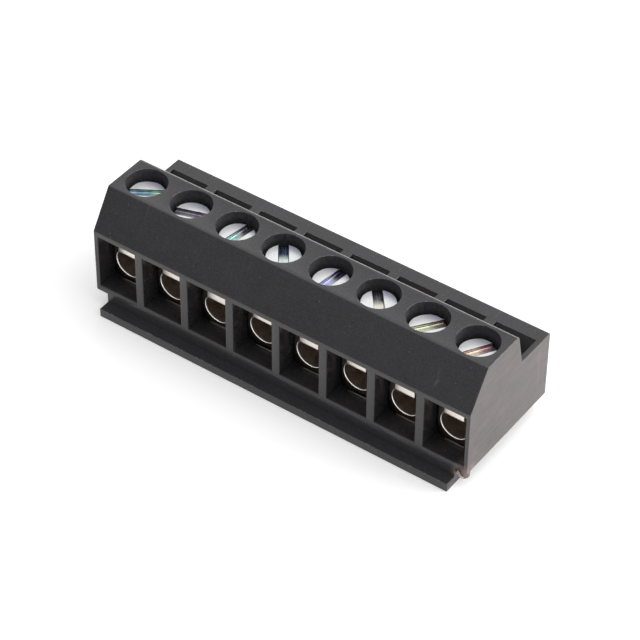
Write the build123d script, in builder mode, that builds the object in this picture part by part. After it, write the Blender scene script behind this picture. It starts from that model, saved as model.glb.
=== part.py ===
"""Pluggable screw terminal block: one row of wire clamps in a moulded plug that pushes down onto header pins.

Millimetres. X runs along the row of poles, -Y is the wire side, +Z is up.
The origin is at the middle of the footprint, on the surface the plug stands on.
"""
import os
from math import sqrt

from build123d import *

os.makedirs("parts", exist_ok=True)

# The row
poles = 8
pitch = 5.0
web = 0.9

# Plinth under the housing, with the finger lip along its front
plinth_height = 1.85
plinth_inset = 1.2
lip_reach = 1.15
lip_thickness = 0.9

# Wire chamber and what is stacked in it, from its floor up
floor_thickness = 0.65
tail_thickness = 0.3
bore_floor = 0.5
bore_radius = 1.4
thread_length = 1.3
chamber_headroom = 0.7
top_bar = 0.6

# Clamp body
block_front = 1.75
block_depth = 5.6
block_side_play = 0.25
block_end_play = 0.2
bore_rim = 0.13

# Screw
screw_radius = 1.25
thread_clearance = 0.05
head_radius = 1.7
head_thickness = 1.15
head_sink = 1.02
slot_width = 0.95
slot_depth = 0.75
slot_run_out = 0.5
tip_gap = 0.05
tip_chamfer = 0.3

# Screw well and the top of the housing
well_play = 0.23
well_front_margin = 0.36
well_rear_margin = 0.51
slope_run = 2.36
body_height = 10.5

# Rear pocket for the spring contact, open through the ledge
divider = 0.33
pocket_width = 2.96
pocket_end_wall = 0.5
rear_wall = 1.51
ledge_height = 7.05
pin_hole_radius = 0.85
pin_hole_lead = 0.3
window_play = 0.3

# Wire guard
guard_thickness = 0.2
guard_gap = 0.05
guard_width = 2.0
guard_tab_height = 1.75
guard_corner = 0.2
tongue_width = 1.4
tongue_play = 0.05

# Spring contact
contact_width = 2.0
arm_thickness = 0.25
arm_width = 1.5
arm_height = 4.3
arm_root = 0.86
arm_grip = 3.2
arm_gap = 0.8
contact_hole = 1.2

# Moulded edges
edge_radius = 0.12
rear_edge_radius = 0.15
mouth_chamfer = 0.1
stub_radius = 0.5
stub_drop = 0.62
stub_rise = 0.5
stub_forward = 0.1

# How each pole was left: clamp body lifted off its contact, screw turned down, screw slot's direction
seat_rise = (0.20, 0.15, 0.0, 0.30, 0.13, 0.25, 0.05, 0.13)
screw_drop = (0.13, 0.13, 0.08, 0.0, 0.11, 0.03, 0.13, 0.20)
slot_angle = (32, 18, 81, 126, 83, 130, 54, 59)

# Sizes that follow from the ones above
length = poles * pitch
chamber_width = pitch - web
block_width = chamber_width - 2 * block_side_play
block_height = bore_floor + 2 * bore_radius + thread_length
chamber_height = tail_thickness + block_height + chamber_headroom
chamber_depth = block_front + block_depth + block_end_play
chamber_top = floor_thickness + chamber_height
face_height = chamber_top + top_bar
well_radius = head_radius + well_play
well_back = slope_run + well_front_margin + well_radius
top_back = well_back + well_radius + well_rear_margin
pocket_front = chamber_depth + divider
pocket_back = pocket_front + pocket_width
pocket_length = pitch - 2 * pocket_end_wall
body_depth = pocket_back + rear_wall
window_width = contact_width + 2 * window_play
window_height = tail_thickness + arm_height + window_play
fork_back = pocket_front + pocket_width / 2
tongue_rise = sqrt((bore_radius - tongue_play) ** 2 - (tongue_width / 2) ** 2) - guard_thickness
bore_height = floor_thickness + tail_thickness + bore_floor + bore_radius
guard_top = bore_height + tongue_rise + guard_thickness
largest_step = max(rise + drop for rise, drop in zip(seat_rise, screw_drop))
shank_length = body_height - head_sink - head_thickness - guard_top - largest_step - tip_gap
plinth_length = length - 2 * plinth_inset
plinth_depth = body_depth - plinth_inset

# The housing's front face and underside, in the part's own axes
front = lip_reach - (body_depth + lip_reach) / 2
under = plinth_height
pole_x = [pitch * (i - (poles - 1) / 2) for i in range(poles)]


# Housing: the side profile drawn out along the row, on its plinth
with BuildPart() as housing:
    with BuildSketch(Plane.YZ):
        with BuildLine():
            Polyline(
                (front, under),
                (front, under + face_height),
                (front + slope_run, under + body_height),
                (front + top_back, under + body_height),
                (front + pocket_front, under + ledge_height),
                (front + body_depth, under + ledge_height),
                (front + body_depth, under),
                close=True,
            )
        make_face()
        rear_top = vertices().group_by(Axis.X)[-1].sort_by(Axis.Y)[-1]
        fillet(rear_top, rear_edge_radius)
        shoulder = vertices().group_by(Axis.Y)[-1]
        fillet(shoulder, edge_radius)
        brow = vertices().group_by(Axis.X)[0].sort_by(Axis.Y)[-1]
        fillet(brow, edge_radius)
    extrude(amount=length / 2, both=True)

    # plinth and finger lip
    with Locations((0, front + plinth_depth / 2, plinth_height / 2)):
        Box(plinth_length, plinth_depth, plinth_height)
    with Locations((0, front - lip_reach / 2, lip_thickness / 2)):
        Box(plinth_length, lip_reach, lip_thickness)

    # the small stub left where the moulding was broken off its runner
    with BuildSketch(Plane.XY.offset(under - stub_drop)):
        with Locations((length / 2 - stub_radius, front + stub_radius - stub_forward)):
            Circle(stub_radius)
    extrude(amount=stub_drop + stub_rise)

    # wire chambers, open to the front
    with BuildSketch(Plane.XZ.offset(-front)):
        with Locations([(x, under + floor_thickness + chamber_height / 2) for x in pole_x]):
            Rectangle(chamber_width, chamber_height)
    extrude(amount=-chamber_depth, mode=Mode.SUBTRACT)
    wire_face = faces().filter_by(Axis.Y).group_by(Axis.Y)[1].sort_by(SortBy.AREA)[-1]
    mouth_rims = [edge for rim in wire_face.inner_wires() for edge in rim.edges()]
    chamfer(mouth_rims, mouth_chamfer)

    # windows through the divider, for the contact to pass to the rear
    with BuildSketch(Plane.XZ.offset(-front - chamber_depth)):
        with Locations([(x, under + floor_thickness + window_height / 2) for x in pole_x]):
            Rectangle(window_width, window_height)
    extrude(amount=-(divider + pocket_width / 2), mode=Mode.SUBTRACT)

    # rear pockets, open through the ledge
    with BuildSketch(Plane.XY.offset(under + floor_thickness)):
        with Locations([(x, front + fork_back) for x in pole_x]):
            Rectangle(pocket_length, pocket_width)
    extrude(amount=ledge_height - floor_thickness, mode=Mode.SUBTRACT)

    # screw wells
    with BuildSketch(Plane.XY.offset(under + chamber_top)):
        with Locations([(x, front + well_back) for x in pole_x]):
            Circle(well_radius)
    extrude(amount=body_height - chamber_top, mode=Mode.SUBTRACT)

    # pin entries through the plinth, each with a lead-in
    with BuildSketch(Plane.XY):
        with Locations([(x, front + fork_back) for x in pole_x]):
            Circle(pin_hole_radius)
    extrude(amount=under + floor_thickness, mode=Mode.SUBTRACT)
    entry_rims = edges().filter_by(GeomType.CIRCLE).group_by(Axis.Z)[0]
    chamfer(entry_rims, pin_hole_lead)

housing.part.label = "housing"
export_step(housing.part, "parts/housing.step")

for i in range(poles):
    x = pole_x[i]
    bore_z = under + bore_height + seat_rise[i % len(seat_rise)]
    block_low = bore_z - bore_radius - bore_floor
    tongue_low = bore_z + tongue_rise

    # Clamp body: a plated block with the wire bore through it and the thread above
    with BuildPart() as clamp_body:
        with Locations((x, front + block_front + block_depth / 2, block_low + block_height / 2)):
            Box(block_width, block_depth, block_height)
        with BuildSketch(Plane.XZ.offset(-front - block_front)):
            with Locations((x, bore_z)):
                Circle(bore_radius)
        extrude(amount=-block_depth, mode=Mode.SUBTRACT)
        with BuildSketch(Plane.XY.offset(bore_z)):
            with Locations((x, front + well_back)):
                Circle(screw_radius + thread_clearance)
        extrude(amount=bore_radius + thread_length, mode=Mode.SUBTRACT)
        mouth = edges().filter_by(GeomType.CIRCLE).sort_by(Axis.Y)[0]
        chamfer(mouth, bore_rim)
    clamp_body.part.label = f"clamp_body_{i + 1}"
    export_step(clamp_body.part, f"parts/clamp_body_{i + 1}.step")

    # Clamp screw: slotted cheese head on a plain shank that stands for the thread
    head_top = under + body_height - head_sink - screw_drop[i % len(screw_drop)]
    with BuildPart() as clamp_screw:
        with BuildSketch(Plane.XY.offset(head_top - head_thickness)):
            with Locations((x, front + well_back)):
                Circle(head_radius)
        extrude(amount=head_thickness)
        rim = edges().filter_by(GeomType.CIRCLE).sort_by(Axis.Z)[-1]
        chamfer(rim, edge_radius)
        with BuildSketch(Plane.XY.offset(head_top - head_thickness - shank_length)):
            with Locations((x, front + well_back)):
                Circle(screw_radius)
        extrude(amount=shank_length)
        tip = edges().filter_by(GeomType.CIRCLE).sort_by(Axis.Z)[0]
        chamfer(tip, tip_chamfer)
        with BuildSketch(Plane.XY.offset(head_top - slot_depth)):
            with Locations(Location((x, front + well_back, 0), (0, 0, slot_angle[i % len(slot_angle)]))):
                Rectangle(2 * (head_radius + slot_run_out), slot_width)
        extrude(amount=slot_depth, mode=Mode.SUBTRACT)
    clamp_screw.part.label = f"clamp_screw_{i + 1}"
    export_step(clamp_screw.part, f"parts/clamp_screw_{i + 1}.step")

    # Wire guard: a tab in front of the clamp body, turned back into the bore under the screw
    guard_front = front + block_front - guard_gap - guard_thickness
    tongue_back = front + well_back + screw_radius
    with BuildPart() as wire_guard:
        with BuildSketch(Plane.XZ.offset(-guard_front)):
            with Locations((x, tongue_low + guard_tab_height / 2)):
                Rectangle(guard_width, guard_tab_height)
            fillet(vertices().group_by(Axis.Y)[0], guard_corner)
        extrude(amount=-guard_thickness)
        with Locations((x, (guard_front + tongue_back) / 2, tongue_low + guard_thickness / 2)):
            Box(tongue_width, tongue_back - guard_front, guard_thickness)
    wire_guard.part.label = f"wire_guard_{i + 1}"
    export_step(wire_guard.part, f"parts/wire_guard_{i + 1}.step")

    # Spring contact: a flat tail under the clamp body and two arms that grip the header pin
    tail_low = under + floor_thickness
    arm_foot = tail_low + tail_thickness
    outer_x = contact_width / 2
    grip_x = arm_gap / 2
    with BuildPart() as contact_fork:
        tail_back = front + fork_back + arm_width / 2
        with Locations((x, (front + block_front + tail_back) / 2, tail_low + tail_thickness / 2)):
            Box(contact_width, tail_back - front - block_front, tail_thickness)
        with Locations((x, front + fork_back, tail_low + tail_thickness / 2)):
            Box(contact_hole, contact_hole, tail_thickness, mode=Mode.SUBTRACT)
        with BuildSketch(Plane.XZ.offset(-front - fork_back + arm_width / 2)):
            for side in (-1, 1):
                with BuildLine():
                    Polyline(
                        (x + side * outer_x, tail_low),
                        (x + side * outer_x, arm_foot + arm_root),
                        (x + side * (grip_x + arm_thickness), arm_foot + arm_grip),
                        (x + side * outer_x, arm_foot + arm_height),
                        (x + side * (outer_x - arm_thickness), arm_foot + arm_height),
                        (x + side * grip_x, arm_foot + arm_grip),
                        (x + side * (outer_x - arm_thickness), arm_foot + arm_root),
                        (x + side * (outer_x - arm_thickness), tail_low),
                        close=True,
                    )
                make_face()
        extrude(amount=-arm_width)
    contact_fork.part.label = f"contact_fork_{i + 1}"
    export_step(contact_fork.part, f"parts/contact_fork_{i + 1}.step")
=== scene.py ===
# %% [markdown]
# A pluggable terminal block, dressed for its portrait.
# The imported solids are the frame, and they give the size and place of every piece. This lesson puts a
# camera and soft light round them, gives the moulding its rounded edges and its satin surface, and
# makes the small metal pieces again with the curves, threads and tool marks that a solid leaves out.

# %% The frame
import math

import bmesh
import bpy
import numpy as np
from mathutils import Matrix, Vector


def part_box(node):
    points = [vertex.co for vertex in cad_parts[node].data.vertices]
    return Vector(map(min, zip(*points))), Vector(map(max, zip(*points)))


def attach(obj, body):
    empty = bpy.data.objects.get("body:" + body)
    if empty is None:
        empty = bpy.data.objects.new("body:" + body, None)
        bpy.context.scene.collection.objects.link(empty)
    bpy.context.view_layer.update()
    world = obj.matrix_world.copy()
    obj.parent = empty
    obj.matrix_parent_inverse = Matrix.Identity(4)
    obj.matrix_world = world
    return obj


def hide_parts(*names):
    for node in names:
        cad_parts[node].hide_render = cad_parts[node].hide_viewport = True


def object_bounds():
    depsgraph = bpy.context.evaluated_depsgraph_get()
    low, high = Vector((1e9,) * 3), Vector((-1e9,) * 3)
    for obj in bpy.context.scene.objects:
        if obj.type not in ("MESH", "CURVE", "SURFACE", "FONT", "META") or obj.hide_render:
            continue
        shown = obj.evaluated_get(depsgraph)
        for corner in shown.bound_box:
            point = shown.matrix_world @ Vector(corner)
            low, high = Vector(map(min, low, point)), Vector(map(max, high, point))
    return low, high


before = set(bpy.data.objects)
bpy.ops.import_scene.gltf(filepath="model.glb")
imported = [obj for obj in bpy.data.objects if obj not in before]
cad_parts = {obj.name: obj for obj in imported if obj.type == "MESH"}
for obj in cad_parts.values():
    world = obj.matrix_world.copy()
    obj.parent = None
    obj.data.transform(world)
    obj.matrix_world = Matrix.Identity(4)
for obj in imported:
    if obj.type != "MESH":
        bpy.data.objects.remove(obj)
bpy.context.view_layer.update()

MM = 0.001
poles = sum(name.startswith("clamp_screw_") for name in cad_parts)
print("poles:", poles, "solids:", len(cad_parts))

# %% [markdown]
# The camera stands to the right of the wire side and looks well down on the block. A long lens from
# about a quarter of a metre gives the almost parallel lines of a product photograph. The lens and the
# place were worked out from the corners of the block, so they are kept as real distances and angles.

# %% Camera
photo_width = 640
focal_pixels = 2695
sensor_width = 36.0
camera_distance = 235.5 * MM
camera_azimuth = math.radians(35.23)
camera_elevation = math.radians(42.12)
camera_roll = math.radians(0.64)
aim = Vector((0.96, -0.29, 5.34)) * MM

lens = bpy.data.cameras.new("portrait_camera")
lens.sensor_width = sensor_width
lens.lens = sensor_width * focal_pixels / photo_width
lens.clip_start = 0.01
camera = bpy.data.objects.new("portrait_camera", lens)
turn = Matrix.Rotation(camera_azimuth, 4, "Z") @ Matrix.Rotation(math.pi / 2 - camera_elevation, 4, "X")
turn = turn @ Matrix.Rotation(camera_roll, 4, "Z")
camera.matrix_world = Matrix.Translation(aim) @ turn @ Matrix.Translation((0, 0, camera_distance))
bpy.context.collection.objects.link(camera)
bpy.context.scene.camera = camera
bpy.context.scene.view_settings.view_transform = "Standard"
print("lens:", round(lens.lens, 1), "mm")

# %% [markdown]
# Shader maths reads better as sums than as boxes and noodles. This small class holds one output
# socket of a material. Adding or multiplying it adds the Math node that does the work. Any other kind
# of node comes from the method node, with its settings first and its sockets after, and the kinds that
# come back often have a short method of their own that calls it.


# %% Sockets that do arithmetic
class Signal:
    """One output socket of a material. Python's arithmetic on it adds Math nodes."""

    def __init__(self, tree, socket=None):
        self.tree = tree
        self.socket = socket

    def node(self, kind, settings=None, sockets=None, output=0):
        """Add a node, set it up, feed its sockets with values or signals, and return one output."""
        made = self.tree.nodes.new("ShaderNode" + kind)
        for name, value in (settings or {}).items():
            setattr(made, name, value)
        for name, value in (sockets or {}).items():
            self.feed(made.inputs[name], value)
        return Signal(self.tree, made.outputs[output])

    def feed(self, entry, value):
        if isinstance(value, Signal):
            self.tree.links.new(value.socket, entry)
        else:
            entry.default_value = value

    def maths(self, operation, first, second=0.0):
        return self.node("Math", {"operation": operation}, {0: first, 1: second})

    def __add__(self, other):
        return self.maths("ADD", self, other)

    def __radd__(self, other):
        return self.maths("ADD", other, self)

    def __sub__(self, other):
        return self.maths("SUBTRACT", self, other)

    def __rsub__(self, other):
        return self.maths("SUBTRACT", other, self)

    def __mul__(self, other):
        return self.maths("MULTIPLY", self, other)

    def __rmul__(self, other):
        return self.maths("MULTIPLY", other, self)

    def __truediv__(self, other):
        return self.maths("DIVIDE", self, other)

    def __pow__(self, other):
        return self.maths("POWER", self, other)

    def __abs__(self):
        return self.maths("ABSOLUTE", self)

    def between(self, low, high):
        """0 below low, 1 above high, and a smooth rise from one to the other."""
        settings = {"interpolation_type": "SMOOTHSTEP"}
        return self.node("MapRange", settings, {"Value": self, "From Min": low, "From Max": high})

    def near(self, value, inner, outer):
        """1 within inner of a value, 0 past outer from it, and smooth between."""
        above = self.between(value - outer, value - inner)
        return above * (1 - self.between(value + inner, value + outer))

    def fraction(self):
        """What is left of a number when its whole part is taken off."""
        return self.maths("FRACT", self)

    def axes(self):
        """The three numbers of a vector, as three signals."""
        split = self.node("SeparateXYZ", {}, {0: self})
        return [Signal(self.tree, output) for output in split.socket.node.outputs]

    def stretched(self, scale, rotation=(0.0, 0.0, 0.0)):
        """A place turned, and then scaled by a different factor along each axis."""
        return self.node("Mapping", {}, {"Vector": self, "Scale": scale, "Rotation": rotation})

    def noise(self, scale, detail, **more):
        """Cloudy noise about 0.5, read at this place."""
        return self.node("TexNoise", {}, {"Vector": self, "Scale": scale, "Detail": detail, **more})

    def mix(self, first, second):
        """Colours: first where this signal is 0, second where it is 1."""
        settings = {"data_type": "RGBA"}
        return self.node("Mix", settings, {"Factor": self, 6: first, 7: second}, output=2)


def new_material(name, slot_colour):
    """An empty material, its shader, the signal its nodes start from, and the place in millimetres."""
    material = bpy.data.materials.new(name)
    material.use_nodes = True
    material.diffuse_color = (*slot_colour, 1)
    tree = material.node_tree
    start = Signal(tree)
    place = start.node("TexCoord", output=3)
    millimetres = start.node("VectorMath", {"operation": "SCALE"}, {0: place, "Scale": 1 / MM})
    return material, tree.nodes["Principled BSDF"], start, millimetres


print("signals ready")

# %% [markdown]
# The block stands on a pale sheet that runs on past the picture's edges. In a studio such a sheet is lit
# until it is nearly white, and the block's glossy black skin then shows the sheet in every face that
# looks down at it. So the sheet and the world are white to the camera and to reflections, while what
# lights the block stays at a plain level. A dark screen stands low in front, as photographers use one,
# and keeps the slanted face and the insides of the wire chambers black.

# %% Sheet, world and lamps
sheet_half = 3.0
sheet_colour = (0.86, 0.86, 0.86, 1)
sheet_lift = 0.30
fill_level = 0.5
screen_level = 0.05
screen_azimuth = math.radians(242)
screen_sides = (0.1, 0.75)
screen_top = (0.22, 0.42)


def stage_material():
    """A matt sheet, lit by the lamps, that glows a little to the camera and in reflections."""
    material = bpy.data.materials.new("pale_sheet")
    material.use_nodes = True
    tree = material.node_tree
    tree.nodes.clear()
    start = Signal(tree)
    seen = start.node("LightPath", output=0)
    mirrored = start.node("LightPath", output=3)
    lift = (seen + mirrored) * sheet_lift
    paper = start.node("BsdfDiffuse", {}, {"Color": sheet_colour})
    glow = start.node("Emission", {}, {"Color": (1, 1, 1, 1), "Strength": lift})
    both = start.node("AddShader", {}, {0: paper, 1: glow})
    end = tree.nodes.new("ShaderNodeOutputMaterial")
    tree.links.new(both.socket, end.inputs["Surface"])
    return material


def sheet():
    """One square, level with the block's foot."""
    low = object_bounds()[0].z
    corners = [(-1, -1), (1, -1), (1, 1), (-1, 1)]
    mesh = bpy.data.meshes.new("pale_sheet")
    mesh.from_pydata([(x * sheet_half, y * sheet_half, low) for x, y in corners], [], [(0, 1, 2, 3)])
    mesh.materials.append(stage_material())
    floor = bpy.data.objects.new("pale_sheet", mesh)
    bpy.context.collection.objects.link(floor)


def studio_world():
    """White to the camera. Reflections see white too, apart from a soft dark screen low in front."""
    world = bpy.data.worlds.new("studio")
    world.use_nodes = True
    tree = world.node_tree
    tree.nodes.clear()
    start = Signal(tree)
    seen = start.node("LightPath", output=0)
    mirrored = start.node("LightPath", output=3)
    direction = start.node("TexCoord", output=0)
    east, north, height = direction.axes()
    facing = east * math.cos(screen_azimuth) + north * math.sin(screen_azimuth)
    screen = facing.between(*screen_sides) * (1 - height.between(*screen_top))
    studio = 1 - screen * (1 - screen_level)
    strength = seen + (1 - seen) * (mirrored * studio + (1 - mirrored) * fill_level)
    sky = start.node("Background", {}, {"Color": (1, 1, 1, 1), "Strength": strength})
    end = tree.nodes.new("ShaderNodeOutputWorld")
    tree.links.new(sky.socket, end.inputs["Surface"])
    bpy.context.scene.world = world


def softbox(name, place, width, height, power, aim_at=(0, 0, 0.005)):
    """A rectangular lamp that faces the block. Distances in metres, power in watts."""
    lamp = bpy.data.lights.new(name, "AREA")
    lamp.shape = "RECTANGLE"
    lamp.size = width
    lamp.size_y = height
    lamp.energy = power
    box = bpy.data.objects.new(name, lamp)
    facing = Vector(aim_at) - Vector(place)
    box.matrix_world = Matrix.Translation(place) @ facing.to_track_quat("-Z", "Y").to_matrix().to_4x4()
    bpy.context.collection.objects.link(box)


sheet()
studio_world()
softbox("softbox_above", (0.14, 0.08, 0.50), 0.50, 0.60, 1.8)
softbox("softbox_right", (0.34, 0.24, 0.12), 0.32, 0.20, 1.3)
softbox("softbox_behind", (-0.22, 0.43, 0.09), 0.36, 0.09, 0.4)
print("stage ready")

# %% [markdown]
# Most new pieces here are closed surfaces on a grid: rows and columns of points, worked out as whole
# arrays. One function turns such grids into a mesh. Another joins the points that fall together at a
# pole and turns every face outwards. A third hands the piece to the body that it rides on.


# %% From grids to pieces
def grid_quads(rows, columns, ring_rows, ring_columns):
    """Each point with its next neighbour down and across. A ring joins its last line to its first."""
    down = np.arange(rows if ring_rows else rows - 1)
    across = np.arange(columns if ring_columns else columns - 1)
    row, column = np.meshgrid(down, across, indexing="ij")
    below, beside = (row + 1) % rows, (column + 1) % columns
    this_row, next_row = row * columns, below * columns
    corners = [this_row + column, this_row + beside, next_row + beside, next_row + column]
    return np.stack(corners, axis=-1).reshape(-1, 4)


def mesh_from_grids(name, grids, marks=None):
    """One mesh from several grids, each given as (points, rings), with named triples for each point."""
    points = np.concatenate([grid.reshape(-1, 3) for grid, rings in grids])
    quads, first = [], 0
    for grid, rings in grids:
        quads.append(grid_quads(grid.shape[0], grid.shape[1], *rings) + first)
        first += grid.shape[0] * grid.shape[1]
    mesh = bpy.data.meshes.new(name)
    mesh.from_pydata(points.tolist(), [], np.concatenate(quads).tolist())
    for label, values in (marks or {}).items():
        layer = mesh.attributes.new(label, "FLOAT_VECTOR", "POINT")
        layer.data.foreach_set("vector", values.astype(np.float32).ravel())
    return mesh


def points_of(mesh):
    """A mesh's points as rows of three numbers, in metres."""
    flat = np.empty(len(mesh.vertices) * 3, dtype=np.float32)
    mesh.vertices.foreach_get("co", flat)
    return flat.reshape(-1, 3)


def move_points(mesh, points):
    mesh.vertices.foreach_set("co", points.astype(np.float32).ravel())


def tidy_mesh(mesh, merge=1e-7, sharp_degrees=40):
    """Join doubled points, turn faces outwards, and mark the edges that should look sharp."""
    shape = bmesh.new()
    shape.from_mesh(mesh)
    bmesh.ops.remove_doubles(shape, verts=shape.verts, dist=merge)
    bmesh.ops.dissolve_degenerate(shape, edges=shape.edges, dist=merge)
    bmesh.ops.recalc_face_normals(shape, faces=shape.faces)
    for face in shape.faces:
        face.smooth = True
    for edge in shape.edges:
        edge.smooth = edge.calc_face_angle(0) < math.radians(sharp_degrees)
    shape.to_mesh(mesh)
    shape.free()


def place_piece(name, mesh, material, node, body):
    """An object for the mesh, which takes the place of a solid and rides where the solid rides."""
    mesh.materials.append(material)
    piece = bpy.data.objects.new(name, mesh)
    bpy.context.collection.objects.link(piece)
    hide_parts(node)
    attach(piece, body)
    return piece


def middle(node, axis):
    """The middle of a solid's box along one axis."""
    low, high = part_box(node)
    return (low[axis] + high[axis]) / 2


print("mesh helpers ready")

# %% [markdown]
# The housing is one moulding. Its walls, wells and chambers are right in the solid already, so a copy of
# that solid is kept, and only what a solid leaves out is added: the tiny round on every outside corner
# that makes an edge catch the light. The long edge behind the wells is worn rounder than the rest. The
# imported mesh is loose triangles, so the copy is joined first. Only corners that stick out are rounded.


# %% Rounding a copy of a solid
corner_round = 0.045 * MM
corner_steps = 3
corner_degrees = 50
joined = 1e-6
needle = 1e-7


def rounded_copy(node, round_size, steps, least_degrees, reshape=None):
    """A joined copy of a solid, with every outside edge sharper than least_degrees rolled over.

    reshape may move the copy's points first. Where a step is thinner than the round, a rolled corner
    can overshoot, so each point is kept inside the solid's own box. The new faces carry the mark
    "rolled", so that a material can show wear and a painted highlight on them. Points closer than
    joined are one point, and at the end only those closer than needle, because the rounds have narrow
    faces of their own.
    """
    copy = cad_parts[node].data.copy()
    if reshape:
        move_points(copy, reshape(points_of(copy) / MM) * MM)
    shape = bmesh.new()
    shape.from_mesh(copy)
    bmesh.ops.remove_doubles(shape, verts=shape.verts, dist=joined)
    least = math.radians(least_degrees)
    rolled = shape.faces.layers.float.new("rolled")
    corners = [edge for edge in shape.edges if edge.is_convex and edge.calc_face_angle(0) > least]
    bevelled = bmesh.ops.bevel(
        shape, geom=corners, offset=round_size, offset_type="OFFSET", segments=steps,
        profile=0.5, affect="EDGES", clamp_overlap=False,
    )
    for face in bevelled["faces"]:
        face[rolled] = 1.0
    mesh = bpy.data.meshes.new(node + "_rounded")
    shape.to_mesh(mesh)
    move_points(mesh, np.clip(points_of(mesh), *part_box(node)))
    shape.clear()
    shape.from_mesh(mesh)
    bmesh.ops.remove_doubles(shape, verts=shape.verts, dist=needle)
    bmesh.ops.dissolve_degenerate(shape, edges=shape.edges, dist=needle)
    for face in shape.faces:
        face.smooth = True
    for edge in shape.edges:
        edge.smooth = edge.calc_face_angle(0) < least
    shape.to_mesh(mesh)
    shape.free()
    bpy.data.meshes.remove(copy)
    return mesh


print("corners sharper than", corner_degrees, "degrees get a round of", corner_round / MM, "mm")

# %% Housing shape
housing_low, housing_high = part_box("housing")
back_edge_small = 0.12
back_edge_worn = 0.42
back_edge_band = 1.2 * back_edge_small
behind_wells = 1.2


def worn_back_edge(points):
    """Widen the small round between the top and the wall behind the wells, from r to R.

    Each of its points keeps its angle a: new = new centre + (old - old centre) * R / r. Both rounds touch
    the same two faces, so the centre moves by (R - r) * (-tan(a_end / 2), -1), a_end being the last
    angle. Behind the wells nothing else stands as high as this round.
    """
    top = housing_high.z / MM
    chosen = (points[:, 1] > behind_wells) & (points[:, 2] > top - back_edge_band)
    centre = np.array([points[chosen, 1].min(), top - back_edge_small])
    spoke = points[chosen, 1:] - centre
    last_angle = np.arctan2(spoke[:, 0], spoke[:, 1]).max()
    step = (back_edge_worn - back_edge_small) * np.array([-np.tan(last_angle / 2), -1])
    points = points.copy()
    points[chosen, 1:] = centre + step + spoke * back_edge_worn / back_edge_small
    print("back edge: points moved", int(chosen.sum()), "last angle", round(math.degrees(last_angle), 1))
    return points


housing_mesh = rounded_copy("housing", corner_round, corner_steps, corner_degrees, worn_back_edge)
print("housing faces:", len(housing_mesh.polygons))

# %% [markdown]
# Glass-filled nylon comes out of the tool nearly black, with a skin that is neither matt nor shiny. Under
# strong light it shows a fine sandy grain, cloudy streaks where the melt flowed, a few pale specks of
# fibre or dust, and thin scuffs. All of these are noise at different sizes, in millimetres on the block
# itself, so they stay put when the camera moves. Five places look different. The wells were sparked
# into the tool, so their walls are coarse and dull, and their colour is darkened there as painted shade.
# On the two end faces a pale warm film in level streaks is painted light, standing in for the light from
# the side. The rear wall of each pocket is paler, and a thin sunk line crosses the ledge between two
# pockets. Where the moulding was torn off its runner, and on the corner round it, a pinkish brown is
# painted as warm light. So the places come first, each as a signal that is 1 there and 0 elsewhere.


# %% Places on the moulding
screw_low, screw_high = [np.array(corner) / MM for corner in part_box("clamp_screw_1")]
pitch = (middle("clamp_screw_2", 0) - middle("clamp_screw_1", 0)) / MM
well_y = middle("clamp_screw_1", 1) / MM
beside_screw = 0.25
well_reach = (screw_high[0] - screw_low[0]) / 2 + beside_screw
well_floor = 3.0
top_height = housing_high.z / MM
half_length = housing_high.x / MM
behind_contact = 0.73
pocket_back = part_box("contact_fork_1")[1].y / MM + behind_contact
ledge_top = 8.9
torn_at = (housing_high.x / MM - 0.4, housing_low.y / MM + 1.5, 1.6)


def moulding_places(place):
    """The five signals in_well, at_end, in_pocket, seam and torn, from a place in millimetres."""
    x, y, z = place.axes()
    off_axis = (x / pitch + poles / 2).fraction() * pitch - pitch / 2
    from_axis = (off_axis * off_axis + (y - well_y) * (y - well_y)) ** 0.5
    in_well = 1 - from_axis.between(well_reach, well_reach + 0.02)
    in_well = in_well * z.between(well_floor, well_floor + 1.0)
    in_well = in_well * (1 - z.between(top_height - 0.2, top_height))
    at_end = abs(x).between(half_length - 0.04, half_length - 0.01)
    in_pocket = y.near(pocket_back, 0.01, 0.03) * z.between(3.0, 4.5)
    in_pocket = in_pocket * (1 - z.between(ledge_top - 0.10, ledge_top - 0.04))
    at_divider = 1 - (pitch / 2 - abs(off_axis)).between(0.02, 0.05)
    seam = z.near(ledge_top, 0.01, 0.03) * at_divider
    distance = place.node("VectorMath", {"operation": "DISTANCE"}, {0: place, 1: torn_at}, output=1)
    return in_well, at_end, in_pocket, seam, 1 - distance.between(0.4, 1.5)


print("wells:", round(float(pitch), 3), "mm apart, dull to", round(float(well_reach), 3), "mm from the axis")

# %% Moulded black
slot_black = (0.03, 0.03, 0.032)
skin_black = (0.0385, 0.0365, 0.0395)
end_face_painted_light = (0.135, 0.107, 0.100, 1)
pocket_grey = (0.18, 0.172, 0.18, 1)
speck_grey = (0.20, 0.19, 0.185, 1)
nick_and_highlight_grey = (0.24, 0.23, 0.235, 1)
scuff_grey = (0.16, 0.155, 0.155, 1)


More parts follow.
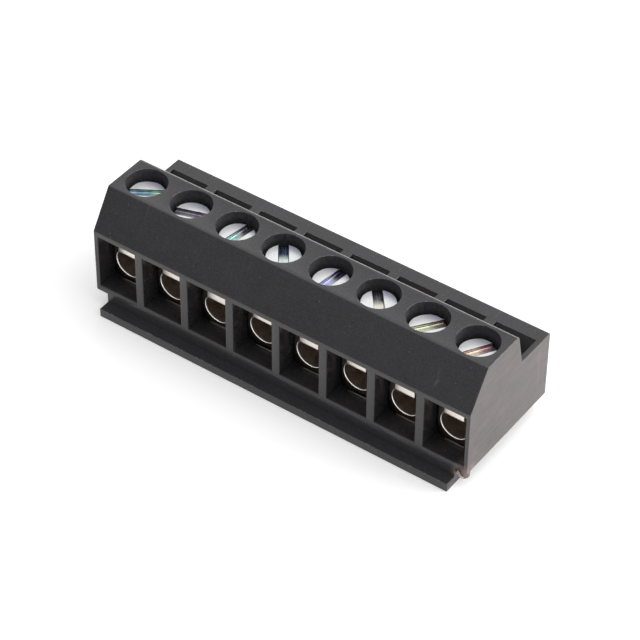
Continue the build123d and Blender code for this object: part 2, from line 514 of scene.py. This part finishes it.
def moulded_black(name="moulded_black", warm_light_amount=0.0):
    """The satin black skin. Its second argument runs from 0 for the moulding itself to 1 for the torn
    plastic: the share of pinkish brown painted as warm light.
    """
    material, shader, start, place = new_material(name, slot_black)
    in_well, at_end, in_pocket, seam, torn = moulding_places(place)
    rolled = start.node("Attribute", {"attribute_name": "rolled"}, output=2)
    grain = place.noise(7.0, 4.0, Roughness=0.75)
    cloud = place.noise(0.35, 3.0, Distortion=0.6)
    pit = place.noise(2.6, 4.0, Distortion=0.8)
    nick_and_highlight = place.noise(3.2, 3.0).between(0.56, 0.66)
    streak = place.stretched((0.25, 0.9, 0.3), (0.6, 0.0, 0.0)).noise(1.6, 5.0, Distortion=1.2)
    end_streaks = place.stretched((0.3, 0.30, 2.6), (0.10, 0.0, 0.0)).noise(1.0, 6.0, Roughness=0.65)
    speck = 1 - start.node("TexVoronoi", {}, {"Vector": place, "Scale": 1.3}).between(0.03, 0.065)
    scuff = place.stretched((5.0, 0.1, 0.1), (0.0, 0.25, 0.15)).noise(0.5, 0.0)
    scuff = scuff.near(0.6025, 0.0025, 0.0075) * cloud.between(0.55, 0.65)

    tone = (0.92 + 1.5 * (grain - 0.5) + 0.25 * (cloud - 0.5)) * (1 - 0.6 * seam)
    # Inside the wells the colour is darkened as painted shade, broken up by the pits.
    tone = tone * (1 - in_well * (0.40 - 1.8 * (pit - 0.5)))
    plain = start.node("VectorMath", {"operation": "SCALE"}, {0: skin_black, "Scale": tone})
    # The end faces get a pale warm film in level streaks: painted light standing in for the light from the
    # side.
    film = 0.22 + 0.50 * end_streaks.between(0.25, 0.75) + 0.60 * (cloud - 0.5)
    film = at_end * film * (0.4 + 1.2 * grain)
    # The pinkish brown at the torn gate and on the corner round it is painted warm light.
    warm_light_colour = (0.58 + 0.27 * warm_light_amount, 0.42 + 0.20 * warm_light_amount, 0.38 + 0.18 * warm_light_amount, 1)
    warm_light_share = torn * (0.5 * warm_light_amount + (0.35 + 0.5 * warm_light_amount) * streak.between(0.3, 0.6))
    colour = film.mix(plain, end_face_painted_light)
    colour = (in_pocket * 0.8).mix(colour, pocket_grey)
    colour = warm_light_share.mix(colour, warm_light_colour)
    colour = (speck * 0.7).mix(colour, speck_grey)
    # Pale nicks on the rounded edges: partly wear, partly a painted highlight along the edges.
    colour = (rolled * nick_and_highlight * 0.4).mix(colour, nick_and_highlight_grey)
    colour = (scuff * 0.25).mix(colour, scuff_grey)
    start.feed(shader.inputs["Base Color"], colour)
    rough = 0.16 + 0.10 * grain + 0.10 * (streak - 0.5) + 0.45 * in_well + 0.12 * at_end
    start.feed(shader.inputs["Roughness"], rough)
    height = 0.010 * grain + 0.01 * streak + 0.10 * pit * in_well + 0.004 * speck - 0.02 * seam
    bump = start.node("Bump", {}, {"Height": height, "Strength": 0.5, "Distance": 0.001})
    start.feed(shader.inputs["Normal"], bump)
    shader.inputs["IOR"].default_value = 1.5
    return material


black = moulded_black()
housing = place_piece("housing_moulding", housing_mesh, black, "housing", "housing")
housing.modifiers.new("flat_faces_stay_flat", "WEIGHTED_NORMAL").keep_sharp = True
print("housing ready")

# %% [markdown]
# The moulding was broken off its runner at one lower corner, and the plastic there stretched and folded
# over. A squat ball with lumps in three sizes, pressed level with the end face, is enough for it. It is
# one grid like the other pieces: rows from pole to pole and columns round. Its pinkish brown is painted
# warm light.

# %% Torn gate
stub_size = np.array([0.58, 0.55, 0.42])
stub_inset = 0.01
stub_rows = 25
stub_columns = 40
stub_lumps = ((0.13, 3, 1.0, 2, 0.0), (0.07, 5, 2.0, 4, 0.5), (0.04, 9, 0.0, 7, 0.0))
stub_middle = np.array([housing_high.x / MM - 0.62, housing_low.y / MM + 1.55, 1.42])


def stub_skin():
    """A lumpy ball, with the angle a round it and the angle b down it.

    Each kind of lump adds size * sin(turns * a + start) * sin(waves * b + shift) to the radius.
    """
    down = np.linspace(0, np.pi, stub_rows)[:, None]
    round_it = np.linspace(0, 2 * np.pi, stub_columns + 1)[None, :-1]
    lump = 0.0
    for size, turns, start, waves, shift in stub_lumps:
        lump = lump + size * np.sin(turns * round_it + start) * np.sin(waves * down + shift)
    radius = 1 + lump * np.sin(down)
    level = np.ones_like(round_it)
    ball = [np.sin(down) * np.cos(round_it), np.sin(down) * np.sin(round_it), np.cos(down) * level]
    points = stub_middle + stub_size * radius[..., None] * np.stack(ball, axis=-1)
    low, high = [np.array(corner) / MM for corner in (housing_low, housing_high)]
    return np.clip(points, low + stub_inset, high - stub_inset)


stub_mesh = mesh_from_grids("torn_gate", [(stub_skin() * MM, (False, True))])
tidy_mesh(stub_mesh)
stub_mesh.materials.append(moulded_black("torn_black", warm_light_amount=1.0))
stub = bpy.data.objects.new("torn_gate", stub_mesh)
bpy.context.collection.objects.link(stub)
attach(stub, "housing")
print("torn gate faces:", len(stub_mesh.polygons))

# %% [markdown]
# A clamp body is a short length of brass bar with the wire bore drilled through it. Its surface closes
# on itself like the skin of a ring: out of the bore, round the rim, over the face, round the outer edge,
# along the flank and home again through the back. So the whole skin is one grid. Its columns go round
# the bore, and its rows follow that path. The drill leaves a rounded rim, which shows as a bright thread
# of light in every chamber.


# %% Clamp body shape
bore_rounding = 0.07
block_rounding = 0.12
thread_bore = 1.3
drill_from = 0.2
drill_to = 5.4
drill_sides = 48
outline_spacing = 0.16
arc_points = 5


def rounded_outline(left, right, low, high, corner, spacing):
    """Points round a rectangle with round corners, and the outward direction at each, as (n, 2) arrays.

    A corner arc is centre + corner * (cos a, sin a), and its outward direction is (cos a, sin a).
    """
    points, normals = [], []
    centres = [(right - corner, high - corner), (left + corner, high - corner),
               (left + corner, low + corner), (right - corner, low + corner)]
    for quarter, centre in enumerate(centres):
        angle = np.radians(np.linspace(90 * quarter, 90 * quarter + 90, arc_points))
        arc_normals = np.stack([np.cos(angle), np.sin(angle)], axis=1)
        arc = np.array(centre) + corner * arc_normals
        following = np.array(centres[(quarter + 1) % 4]) + corner * arc_normals[-1]
        count = max(2, int(np.linalg.norm(following - arc[-1]) / spacing))
        share = np.linspace(0, 1, count, endpoint=False)[1:, None]
        points += [arc, arc[-1] + share * (following - arc[-1])]
        normals += [arc_normals, np.repeat(arc_normals[-1:], count - 1, axis=0)]
    return np.concatenate(points), np.concatenate(normals)


def block_skin(width, depth, bore, under_bore, over_bore):
    """The skin of a drilled block as one closed grid, with the bore's axis on the y axis.

    Each row is (1 - s) * circle + s * outline: s is 0 in the bore and 1 on the flank, and it rises in
    between over the faces. Rows on a rounded edge of radius r step in by r * (1 - cos b) while they
    step back by r * (1 - sin b).
    """
    outline, normals = rounded_outline(
        -width / 2, width / 2, -bore - under_bore, bore + over_bore, block_rounding, outline_spacing
    )
    around = outline / np.linalg.norm(outline, axis=1, keepdims=True)
    turn = np.linspace(0, np.pi / 2, arc_points)
    zero = np.zeros(arc_points)
    rim_out, rim_back = bore_rounding * (1 - np.cos(turn)), bore_rounding * (1 - np.sin(turn))
    edge_in, edge_back = block_rounding * (1 - np.sin(turn)), block_rounding * (1 - np.cos(turn))
    face = np.array([0.25, 0.5, 0.75])
    share = np.concatenate([[0, 0], zero, face, zero + 1, [1]])
    radius = bore + np.concatenate([[0, 0], rim_out, face * 0 + bore_rounding, zero, [0]])
    step_in = np.concatenate([[0, 0], zero, face * 0 + block_rounding, edge_in, [0]])
    back = np.concatenate([[depth / 2, depth / 4], rim_back, face * 0, edge_back, [depth / 3]])
    share, radius, step_in = [np.concatenate([a, a[:0:-1]]) for a in (share, radius, step_in)]
    back = np.concatenate([back, depth - back[:0:-1]])
    circle = radius[:, None, None] * around
    block = outline - step_in[:, None, None] * normals
    flat = (1 - share[:, None, None]) * circle + share[:, None, None] * block
    depths = np.broadcast_to(back[:, None], flat.shape[:2])
    return np.stack([flat[..., 0], depths, flat[..., 1]], axis=-1)


def drilled(mesh, x, y, radius):
    """Cut the hole for the screw's thread down through the top of a block, and return the new mesh.

    The drill ends just above the bore's axis, where the bore is already wider than the drill.
    """
    cutter_mesh = bpy.data.meshes.new("thread_drill")
    shape = bmesh.new()
    half_way = (drill_from + drill_to) / 2
    bmesh.ops.create_cone(
        shape, cap_ends=True, segments=drill_sides, radius1=radius * MM, radius2=radius * MM,
        depth=(drill_to - drill_from) * MM,
        matrix=Matrix.Translation((x * MM, y * MM, half_way * MM)),
    )
    shape.to_mesh(cutter_mesh)
    shape.free()
    blank = bpy.data.objects.new("block_blank", mesh)
    cutter = bpy.data.objects.new("thread_drill", cutter_mesh)
    for piece in (blank, cutter):
        bpy.context.collection.objects.link(piece)
    cut = blank.modifiers.new("thread", "BOOLEAN")
    cut.object = cutter
    cut.operation = "DIFFERENCE"
    bpy.context.view_layer.update()
    result = bpy.data.meshes.new_from_object(blank.evaluated_get(bpy.context.evaluated_depsgraph_get()))
    for piece in (blank, cutter):
        bpy.data.objects.remove(piece)
    return result


block_low, block_high = [np.array(corner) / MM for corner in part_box("clamp_body_1")]
block_size = block_high - block_low
screw_axis_y = middle("clamp_screw_1", 1) / MM - block_low[1]
bore_radius = 1.4
under_bore = 0.5
over_bore = block_size[2] - 2 * bore_radius - under_bore
skin = block_skin(block_size[0], block_size[1], bore_radius, under_bore, over_bore)
blank_mesh = mesh_from_grids("block_blank", [(skin * MM, (True, True))])
tidy_mesh(blank_mesh)
block_mesh = drilled(blank_mesh, 0.0, screw_axis_y, thread_bore)
tidy_mesh(block_mesh)
print("block faces:", len(block_mesh.polygons))

# %% [markdown]
# Nickel over brass has gone a little brown in the bore, where the drill left rings and the plating bath
# reached last. So the bore has its own colour and rings round its axis, its rim is painted near white as a
# highlight, and the faces carry the long faint lines of the drawn bar. The distance from the bore's axis
# is read from a mark on every point, so one material serves blocks that stand at different heights.


# %% Plated block
plate_colours = ((0.13, 0.105, 0.090, 1), (0.09, 0.072, 0.060, 1))
bore_browns = ((0.70, 0.60, 0.53, 1), (0.48, 0.39, 0.34, 1))
rim_highlight_white = (1.0, 1.0, 0.98, 1)


def plated_block():
    """Plated brass: dull plate outside, brown rings in the bore, and a rim between them painted near white
    as a highlight.
    """
    material, shader, start, place = new_material("plated_block", (0.55, 0.47, 0.39))
    from_axis = start.node("Attribute", {"attribute_name": "from_axis"}, output=2)
    inside = 1 - from_axis.between(bore_radius + 0.002, bore_radius + 0.012)
    blotch = place.noise(1.3, 4.0)
    fine = place.noise(4.0, 2.0)
    drawn = place.stretched((6.0, 0.25, 6.0)).noise(1.0, 3.0)
    drill = place.stretched((0.1, 9.0, 0.1)).noise(1.0, 3.0)
    rim = from_axis.between(bore_radius, bore_radius + 0.01)
    rim = rim * (1 - from_axis.between(bore_radius + 0.05, bore_radius + bore_rounding))
    plate = (0.3 + 0.5 * blotch).mix(*plate_colours)
    # The rim is painted near white: a painted highlight on the drill's rounded rim.
    plate = rim.mix(plate, rim_highlight_white)
    brown = (0.2 + 0.6 * drill).mix(*bore_browns)
    rough = 0.16 + 0.05 * fine + 0.05 * drawn + 0.20 * inside - 0.06 * rim
    start.feed(shader.inputs["Base Color"], inside.mix(plate, brown))
    start.feed(shader.inputs["Roughness"], rough)
    height = 0.0008 * fine + 0.0008 * drawn + 0.008 * drill * inside
    bump = start.node("Bump", {}, {"Height": height, "Strength": 0.5, "Distance": 0.001})
    start.feed(shader.inputs["Normal"], bump)
    shader.inputs["Metallic"].default_value = 1.0
    return material


block_look = plated_block()
across_bore = points_of(block_mesh)[:, [0, 2]] / MM
block_mesh.attributes.new("from_axis", "FLOAT", "POINT").data.foreach_set(
    "value", np.linalg.norm(across_bore, axis=1).astype(np.float32)
)
for pole in range(1, poles + 1):
    node = f"clamp_body_{pole}"
    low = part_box(node)[0]
    bore_height = low.z + (bore_radius + under_bore) * MM
    mesh = block_mesh.copy()
    mesh.transform(Matrix.Translation((middle(node, 0), low.y, bore_height)))
    place_piece(f"clamp_block_{pole}", mesh, block_look, node, "housing")
print("clamp blocks:", poles)

# %% [markdown]
# A cheese-head screw is turned on a lathe, and then a saw cuts the slot across the head. The head is
# built the same way round as the saw sees it. Each row is one thin slice across the slot: out over the
# underside, up the flank, over the rim, along the land, over the lip, down the wall and across the
# floor, then the same again mirrored. Past the end of the lands a slice has only the floor left, so its
# upper points are pressed down onto it.


# %% Screw head and thread
head_radius = (screw_high[0] - screw_low[0]) / 2
head_thickness = 1.15
shank_overlap = 0.2
slot_half = 0.44
slot_depth = 0.36
rim_rounding = 0.14
lip_rounding = 0.05
floor_rounding = 0.06
crest_radius = 1.25
root_radius = 1.03
thread_pitch = 0.45
tooth_slope = 2.6
tip_radius = 0.80
tip_slope = 1.1
head_slices = 61
land_points = 15
thread_columns = 48
rows_per_turn = 14
screw_angles = (32, 18, 81, 126, 83, 130, 54, 59)


def head_skin():
    """The slotted head as a closed grid of points (along the slot, across it, up), in millimetres.

    A slice at u has half width h = sqrt(R^2 - u^2). On the land the height is the lathe's rim,
    z = -r + sqrt(r^2 - (d - R + r)^2) with d = sqrt(u^2 + v^2), wherever d is past R - r.
    """
    along = -head_radius * np.cos(np.linspace(0, np.pi, head_slices))[:, None]
    half = np.sqrt(np.maximum(head_radius ** 2 - along ** 2, 0))
    lip_end = slot_half + lip_rounding
    land = np.maximum(half - lip_end, 0)
    share = 1 - np.linspace(1, 0, land_points + 1)[None, :-1] ** 2
    turn = np.linspace(0, np.pi / 2, arc_points)[None, :]
    ones = np.ones_like(along)

    base_v = half * np.array([[0.0, 0.5, 0.95, 1.0]])
    base_z = -head_thickness * np.ones_like(base_v)
    flank_v = half * np.array([[1.0, 1.0, 1.0]])
    flank_z = ones * np.array([[-0.8, -0.45, -rim_rounding]])
    top_v = lip_end + land * (1 - share)
    from_axis = np.sqrt(along ** 2 + top_v ** 2)
    past = np.clip(from_axis - head_radius + rim_rounding, 0, rim_rounding)
    top_z = -rim_rounding + np.sqrt(rim_rounding ** 2 - past ** 2)
    lip_v = ones * (lip_end - lip_rounding * np.sin(turn))
    lip_z = ones * (lip_rounding * (np.cos(turn) - 1))
    wall_v = ones * np.array([[slot_half, slot_half]])
    wall_z = ones * np.array([[-0.5 * slot_depth, -slot_depth + floor_rounding]])
    foot_v = ones * (slot_half - floor_rounding * (1 - np.cos(turn)))
    foot_z = ones * (-slot_depth + floor_rounding * (1 - np.sin(turn)))
    floor_v = ones * np.array([[0.24, 0.12, 0.0]])
    floor_z = -slot_depth * np.ones_like(floor_v)

    upper_v = np.concatenate([flank_v, top_v, lip_v, wall_v, foot_v, floor_v], axis=1)
    upper_z = np.concatenate([flank_z, top_z, lip_z, wall_z, foot_z, floor_z], axis=1)
    outside = half < lip_end
    upper_z = np.where(outside, np.minimum(upper_z, -slot_depth), upper_z)
    half_v = np.concatenate([base_v, np.minimum(upper_v, half)], axis=1)
    half_z = np.concatenate([base_z, upper_z], axis=1)
    across = np.concatenate([half_v, -half_v[:, -2:0:-1]], axis=1)
    height = np.concatenate([half_z, half_z[:, -2:0:-1]], axis=1)
    return np.stack([np.broadcast_to(along, across.shape), across, height], axis=-1)


def thread_skin(length):
    """A threaded shank with a chamfered tip, as a closed grid from inside the head down.

    The radius is root + (crest - root) * tooth(z / pitch + a / 360), and tooth rises, rests and falls.
    Near the tip it can't be more than a cone allows.
    """
    depth = np.linspace(0, length, int(length / thread_pitch * rows_per_turn))[:, None]
    angle = np.linspace(0, 2 * np.pi, thread_columns + 1)[None, :-1]
    phase = (depth / thread_pitch + angle / (2 * np.pi)) % 1
    tooth = np.clip(tooth_slope * (0.5 - np.abs(2 * phase - 1)) + 0.5, 0, 1)
    radius = root_radius + (crest_radius - root_radius) * tooth
    radius = np.minimum(radius, tip_radius + (length - depth) * tip_slope)
    pole_row = np.zeros((1, thread_columns))
    radius = np.concatenate([pole_row, radius, pole_row])
    depth = np.concatenate([depth[:1], depth, depth[-1:]])
    points = [radius * np.cos(angle), radius * np.sin(angle), -depth * np.ones_like(radius)]
    return np.stack(points, axis=-1)


head = head_skin()
print("head:", round(float(2 * head_radius), 2), "mm across,", head.shape[0], "slices of", head.shape[1])

# %% [markdown]
# Bright zinc is nearly white where it faces the light. The passivation on top is a film about as thick
# as a soap bubble's, so where it pools, in the slot, it shows a different colour on every screw. The
# saw's marks run along the slot. Each screw carries its film colours on its points: one for each end
# of the slot, front end first, and one for the thin lines that the saw left between them, which also
# paints a line of light on each wall. The back end's colour is darker, partly as painted shade. A slot's
# wall is painted dark just under its lip as shade, with that thin painted line of light below, and grit
# lies on the floor. The near ends of the two palest films carry less grit, as painted light, and the
# rear of every land is painted darker and bluer as shade.


# %% Zinc
# Each row: front end, back end, saw lines. The back ends are darker, partly as painted shade.
film_colours = (
    ((0.10, 0.30, 0.62), (0.06, 0.50, 0.52), (0.75, 0.80, 0.35)),
    ((0.42, 0.40, 0.46), (0.34, 0.18, 0.50), (0.10, 0.09, 0.12)),
    ((0.45, 0.78, 0.66), (0.02, 0.02, 0.03), (0.80, 0.76, 0.90)),
    ((0.88, 0.99, 0.90), (0.04, 0.08, 0.28), (0.62, 0.80, 0.84)),
    ((0.50, 0.58, 0.95), (0.03, 0.03, 0.07), (0.75, 0.66, 0.92)),
    ((1.00, 0.97, 0.84), (0.04, 0.05, 0.14), (0.90, 0.85, 0.72)),
    ((0.66, 0.82, 0.62), (0.20, 0.24, 0.22), (0.90, 0.66, 0.52)),
    ((0.76, 0.74, 0.56), (0.34, 0.22, 0.24), (0.88, 0.52, 0.50)),
)
film_steepness = 2.5
film_shift = 0.1
bright_zinc = ((0.98, 0.98, 0.98, 1), (0.90, 0.91, 0.94, 1))
rear_shaded_zinc = (0.46, 0.46, 0.60, 1)
land_grit = (0.50, 0.51, 0.53, 1)
bare_zinc = (0.74, 0.75, 0.76, 1)
slot_grit = (0.10, 0.10, 0.11, 1)
wall_shade = (0.03, 0.03, 0.035, 1)
shade_end = (0.09, 0.13)
line_end = (0.19, 0.24)
lathe_rings = 12.0


def zinc_screw():
    """Turned zinc on the lands and the thread, and coloured film with saw marks in the slot."""
    material, shader, start, place = new_material("zinc_screw", (0.76, 0.77, 0.79))
    film = start.node("Attribute", {"attribute_name": "film"}, output=1)
    line = start.node("Attribute", {"attribute_name": "line"}, output=1)
    own = start.node("Attribute", {"attribute_name": "own_place"}, output=1)
    along, across, height = own.axes()
    depth = 0 - height
    in_slot = 1 - abs(across).between(slot_half + 0.035, slot_half + 0.06)
    in_slot = in_slot * depth.between(0.001, 0.006)
    in_slot = in_slot * (1 - depth.between(slot_depth + 0.02, slot_depth + 0.06))
    past_shade = depth.between(*shade_end)
    painted_line_of_light = past_shade * (1 - depth.between(*line_end))
    on_land = height.between(-0.02, -0.005)
    sawn = own.stretched((0.35, 14.0, 5.0)).noise(1.0, 3.0)
    from_axis = (along * along + across * across) ** 0.5
    lathe_place = {0: from_axis * lathe_rings, 1: 0.0, 2: height * lathe_rings}
    turned = start.node("CombineXYZ", {}, lathe_place).noise(1.0, 2.0)
    cloud = place.noise(1.1, 3.0)
    fine = place.noise(14.0, 3.0)
    past_axis = place.axes()[1] - well_y
    thirds = (0.333, 0.333, 0.333)
    paleness = start.node("VectorMath", {"operation": "DOT_PRODUCT"}, {0: film, 1: thirds}, output=1)
    # The near ends of the two palest films carry less grit: painted light where they face the light.
    painted_light_near_end = paleness.between(0.75, 0.9) * (1 - past_axis.between(-0.9, 0.1))
    white = (0.1 + 0.6 * cloud).mix(*bright_zinc)
    # The rear of every land is painted darker and bluer: painted shade where the land reflects the well's
    # back wall.
    white = (past_axis.between(0.4, 1.6) * 0.9).mix(white, rear_shaded_zinc)
    white = (fine.between(0.50, 0.62) * 0.35).mix(white, land_grit)
    # Painted light: one thin line in the third film colour along each slot wall.
    streaked = (painted_line_of_light * 0.8).mix(sawn.between(0.54, 0.58).mix(film, line), line)
    streaked = sawn.between(0.64, 0.68).mix(streaked, bare_zinc)
    streaked = (fine.between(0.52, 0.58) * (0.55 - 0.48 * painted_light_near_end)).mix(streaked, slot_grit)
    # Painted shade: the slot wall just under the lip is dark.
    streaked = ((1 - past_shade) * 0.9).mix(streaked, wall_shade)
    share = in_slot * (0.65 + 0.35 * cloud.between(0.3, 0.6))
    start.feed(shader.inputs["Base Color"], share.mix(white, streaked))
    start.feed(shader.inputs["Roughness"], 0.18 + 0.08 * fine + 0.10 * in_slot * sawn + 0.06 * turned)
    relief = 0.010 * sawn * in_slot + 0.006 * turned * (1 - in_slot) + 0.008 * fine
    bump = start.node("Bump", {}, {"Height": relief, "Strength": 0.5, "Distance": 0.001})
    start.feed(shader.inputs["Normal"], bump)
    start.feed(shader.inputs["Metallic"], 1 - 0.6 * on_land)
    return material


zinc = zinc_screw()
for pole in range(1, poles + 1):
    node = f"clamp_screw_{pole}"
    low, high = [np.array(corner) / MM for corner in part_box(node)]
    shank = thread_skin(high[2] - low[2] - head_thickness + shank_overlap)
    shank[..., 2] -= head_thickness - shank_overlap
    own = np.concatenate([head.reshape(-1, 3), shank.reshape(-1, 3)])
    # The back end's film colour is darker, partly painted shade.
    front_film, shaded_back_film, line = np.array(film_colours[(pole - 1) % len(film_colours)])
    toward_back = np.clip(film_steepness * own[:, :1] / head_radius - film_shift, 0, 1)
    film = (1 - toward_back) * front_film + toward_back * shaded_back_film
    grids = [(head * MM, (False, True)), (shank * MM, (False, True))]
    mesh = mesh_from_grids(node, grids, {"own_place": own, "film": film, "line": line + 0 * own})
    tidy_mesh(mesh, merge=2e-7)
    turn = math.radians(screw_angles[(pole - 1) % len(screw_angles)])
    spot = (middle(node, 0), middle(node, 1), high[2] * MM)
    mesh.transform(Matrix.Translation(spot) @ Matrix.Rotation(turn, 4, "Z"))
    place_piece(f"slotted_screw_{pole}", mesh, zinc, node, f"screw_{pole}")
print("screws:", poles)

# %% [markdown]
# Each wire guard is a strip of thin sheet. It hangs down in front of the block as a wide tab, turns
# through a right angle and runs back into the bore under the screw as a narrower tongue. So it is one
# rounded section carried along that path, and the section narrows in the bend, where the die cut the
# tab's lower corners round.


# %% Wire guards
guard_thickness = 0.2
tongue_width = 1.4
sheet_edge = 0.05
bend_radius = 0.16
narrow_from = 0.35
narrow_over = 0.6
bend_points = 13
straight_points = 9
edge_points = 4


def strip_section(steps):
    """Points round a flat section with round corners, as the corner each belongs to and its offset.

    Both are (across, through) pairs of unit size: signs (1, 1) to (1, -1), and (cos a, sin a) on an arc.
    """
    angle = np.radians(np.linspace(0, 90, steps))
    corner = np.stack([np.cos(angle), np.sin(angle)], axis=1)
    signs = np.array([(1, 1), (-1, 1), (-1, -1), (1, -1)])
    sides, rounds = [], []
    for index, sign in enumerate(signs):
        arc = corner * sign if index % 2 == 0 else corner[::-1] * sign
        sides.append(np.repeat(sign[None], steps, axis=0))
        rounds.append(arc)
    return np.concatenate(sides), np.concatenate(rounds)


def guard_skin(width, height, reach):
    """The guard as a closed grid. Its tab's outer face is at y = 0 and its tongue's underside at z = 0.

    The middle of the strip comes down the tab, follows a quarter circle of bend_radius and runs back.
    Each row's section is centre + across * x + through * normal, with its corners rounded.
    """
    half = guard_thickness / 2
    bend = np.linspace(0, np.pi / 2, bend_points)
    down = np.linspace(height, half + bend_radius, straight_points)[:-1]
    back = np.linspace(half + bend_radius, reach, straight_points)[1:]
    path_y = np.concatenate([down * 0 + half, half + bend_radius * (1 - np.cos(bend)), back])
    path_z = np.concatenate([down, half + bend_radius * (1 - np.sin(bend)), back * 0 + half])
    through_y = np.concatenate([down * 0 - 1, -np.cos(bend), back * 0])
    through_z = np.concatenate([down * 0, -np.sin(bend), back * 0 - 1])
    narrowing = np.sqrt(1 - np.clip((bend / (np.pi / 2) - narrow_from) / narrow_over, 0, 1) ** 2)
    strip = tongue_width + (width - tongue_width) * narrowing
    strip = np.concatenate([down * 0 + width, strip, back * 0 + tongue_width])
    for_ends = [0, *range(len(strip)), len(strip) - 1]
    path_y, path_z, through_y, through_z, strip = [
        a[for_ends] for a in (path_y, path_z, through_y, through_z, strip)
    ]
    full = np.ones(len(strip))
    full[[0, -1]] = 0
    sides, rounds = strip_section(edge_points)
    x = full[:, None] * (sides[:, 0] * (strip[:, None] / 2 - sheet_edge) + rounds[:, 0] * sheet_edge)
    out = full[:, None] * (sides[:, 1] * (half - sheet_edge) + rounds[:, 1] * sheet_edge)
    y = path_y[:, None] + out * through_y[:, None]
    z = path_z[:, None] + out * through_z[:, None]
    return np.stack([x, y, z], axis=-1)


print("guard section:", 4 * edge_points, "points round a sheet", guard_thickness, "mm thick")

# %% [markdown]
# The guard and the contact are both tinned. Tin left to itself is a warm, soft-edged white with faint
# rolling lines, duller than the zinc beside it.


# %% Tinned sheet
def tinned(name, pale, shaded, roughness):
    """Tin between two colours, in clouds and in faint lines that run back into the block."""
    material, shader, start, place = new_material(name, pale)
    cloud = place.noise(1.6, 4.0)
    fine = place.noise(16.0, 3.0)
    rolled = place.stretched((9.0, 0.4, 0.6)).noise(1.0, 2.0)
    tone = (0.15 + 0.5 * cloud + 0.2 * rolled).mix((*pale, 1), (*shaded, 1))
    start.feed(shader.inputs["Base Color"], tone)
    start.feed(shader.inputs["Roughness"], roughness + 0.10 * fine + 0.08 * rolled)
    relief = 0.005 * fine + 0.006 * rolled
    bump = start.node("Bump", {}, {"Height": relief, "Strength": 0.5, "Distance": 0.001})
    start.feed(shader.inputs["Normal"], bump)
    shader.inputs["Metallic"].default_value = 1.0
    return material


guard_look = tinned("tinned_guard", (0.90, 0.85, 0.79), (0.78, 0.71, 0.63), 0.24)
for pole in range(1, poles + 1):
    node = f"wire_guard_{pole}"
    low, high = [np.array(corner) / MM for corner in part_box(node)]
    skin = guard_skin(high[0] - low[0], high[2] - low[2], high[1] - low[1])
    mesh = mesh_from_grids(node, [(skin * MM, (False, True))])
    tidy_mesh(mesh, merge=2e-7)
    mesh.transform(Matrix.Translation((middle(node, 0), low[1] * MM, low[2] * MM)))
    place_piece(f"guard_leaf_{pole}", mesh, guard_look, node, f"guard_{pole}")
print("wire guards:", poles)

# %% [markdown]
# The contacts sit deep in the rear pockets, where only a glint of them is ever seen. Their solids
# already have the bent arms, so each one is a joined copy with its cut edges broken. Their tin is given
# dark brown colours, as painted shade for the deep pockets.

# %% Spring contacts
cut_edge_round = 0.03 * MM
cut_edge_steps = 2
# The contacts' tin is given dark colours: painted shade for the deep pockets.
shaded_contact_look = tinned("tinned_contact", (0.36, 0.32, 0.28), (0.24, 0.20, 0.17), 0.22)
for pole in range(1, poles + 1):
    node = f"contact_fork_{pole}"
    mesh = rounded_copy(node, cut_edge_round, cut_edge_steps, corner_degrees)
    piece = place_piece(f"spring_contact_{pole}", mesh, shaded_contact_look, node, "housing")
    piece.modifiers.new("flat_faces_stay_flat", "WEIGHTED_NORMAL").keep_sharp = True
print("spring contacts:", poles)
